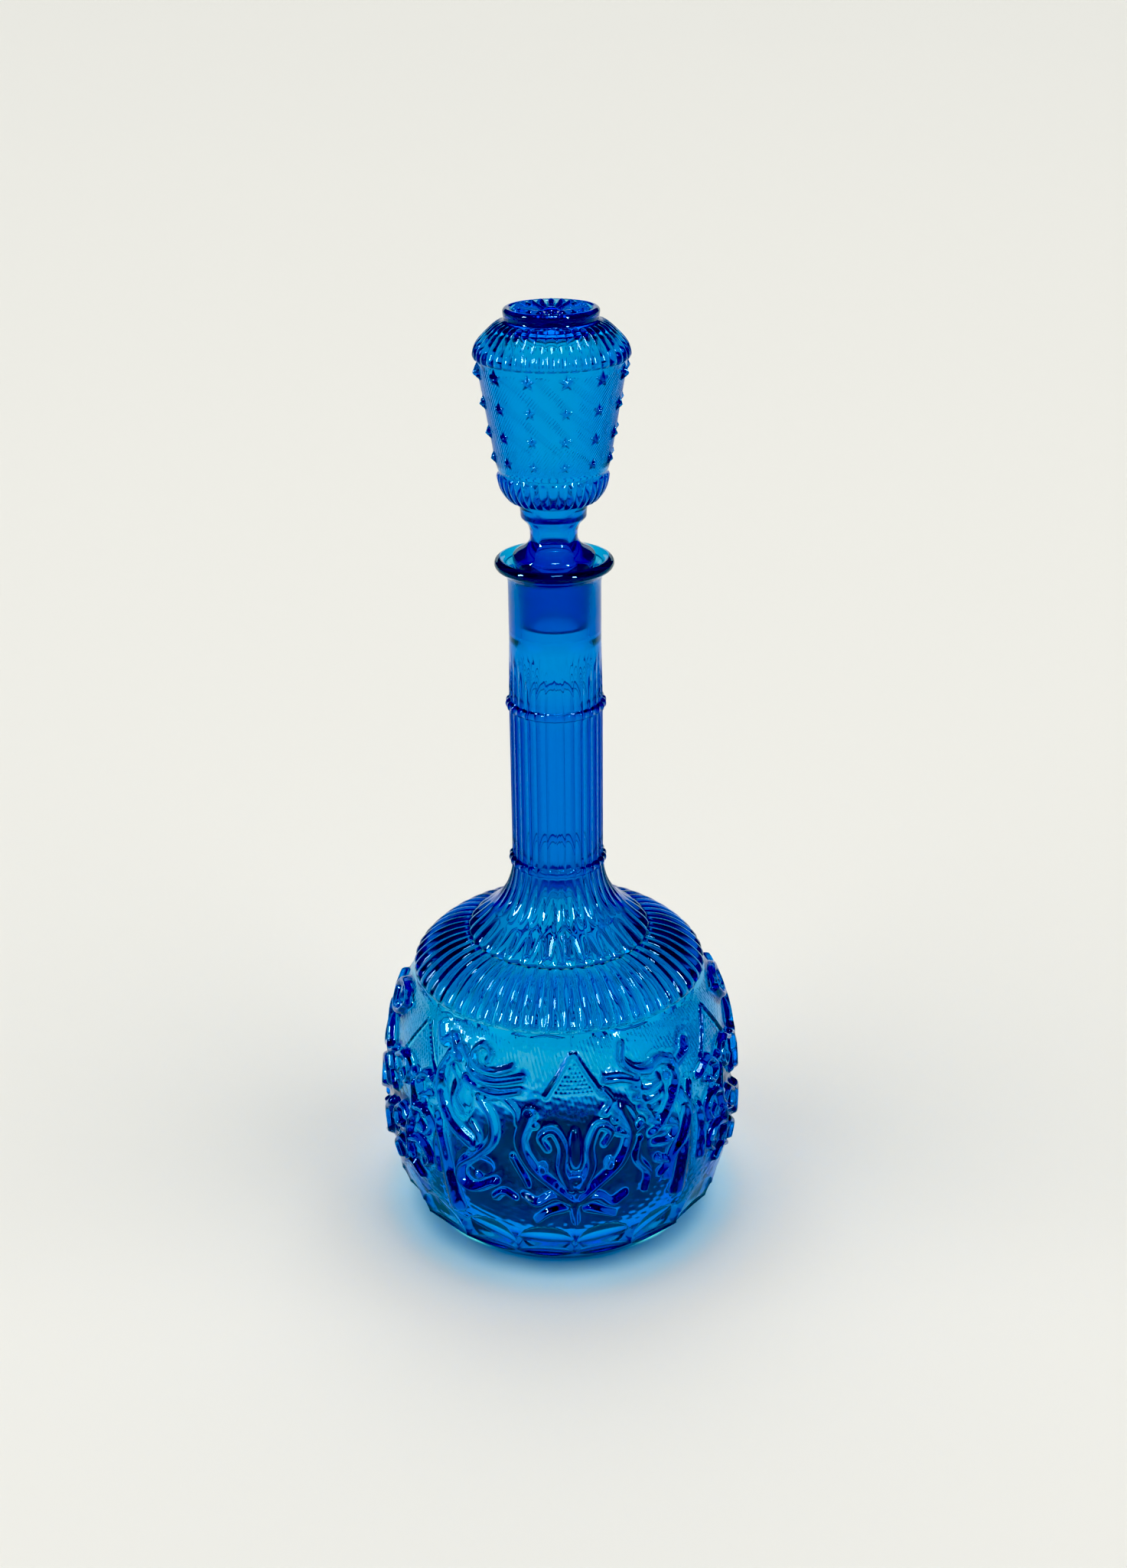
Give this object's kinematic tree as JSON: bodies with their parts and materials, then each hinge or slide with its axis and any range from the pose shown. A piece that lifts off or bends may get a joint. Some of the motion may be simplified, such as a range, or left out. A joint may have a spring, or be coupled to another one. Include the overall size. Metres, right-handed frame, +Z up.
{
  "type": "decanter",
  "caption": "Round-bodied moulded glass decanter with a long fluted neck, a rolled lip and a tall ribbed, starred glass stopper that lifts out.",
  "frame": {"origin": "centre of the ring that the foot stands on", "axes": "+Z up along the axis of the bottle and its stopper; +Y is away from the face that the picture shows"},
  "size_m": [0.1364, 0.1364, 0.34],
  "materials": {
    "blue_glass": "clear moulded azure glass, fire-polished, with a ground peg and socket"
  },
  "bodies": {
    "bottle": {"bottle": "blue_glass"},
    "stopper": {"stopper": "blue_glass"}
  },
  "joints": [
    {"name": "stopper_lift", "type": "slide", "parent": "bottle", "child": "stopper", "axis": [0, 0, 1], "range_m": [0, 0.045]}
  ]
}
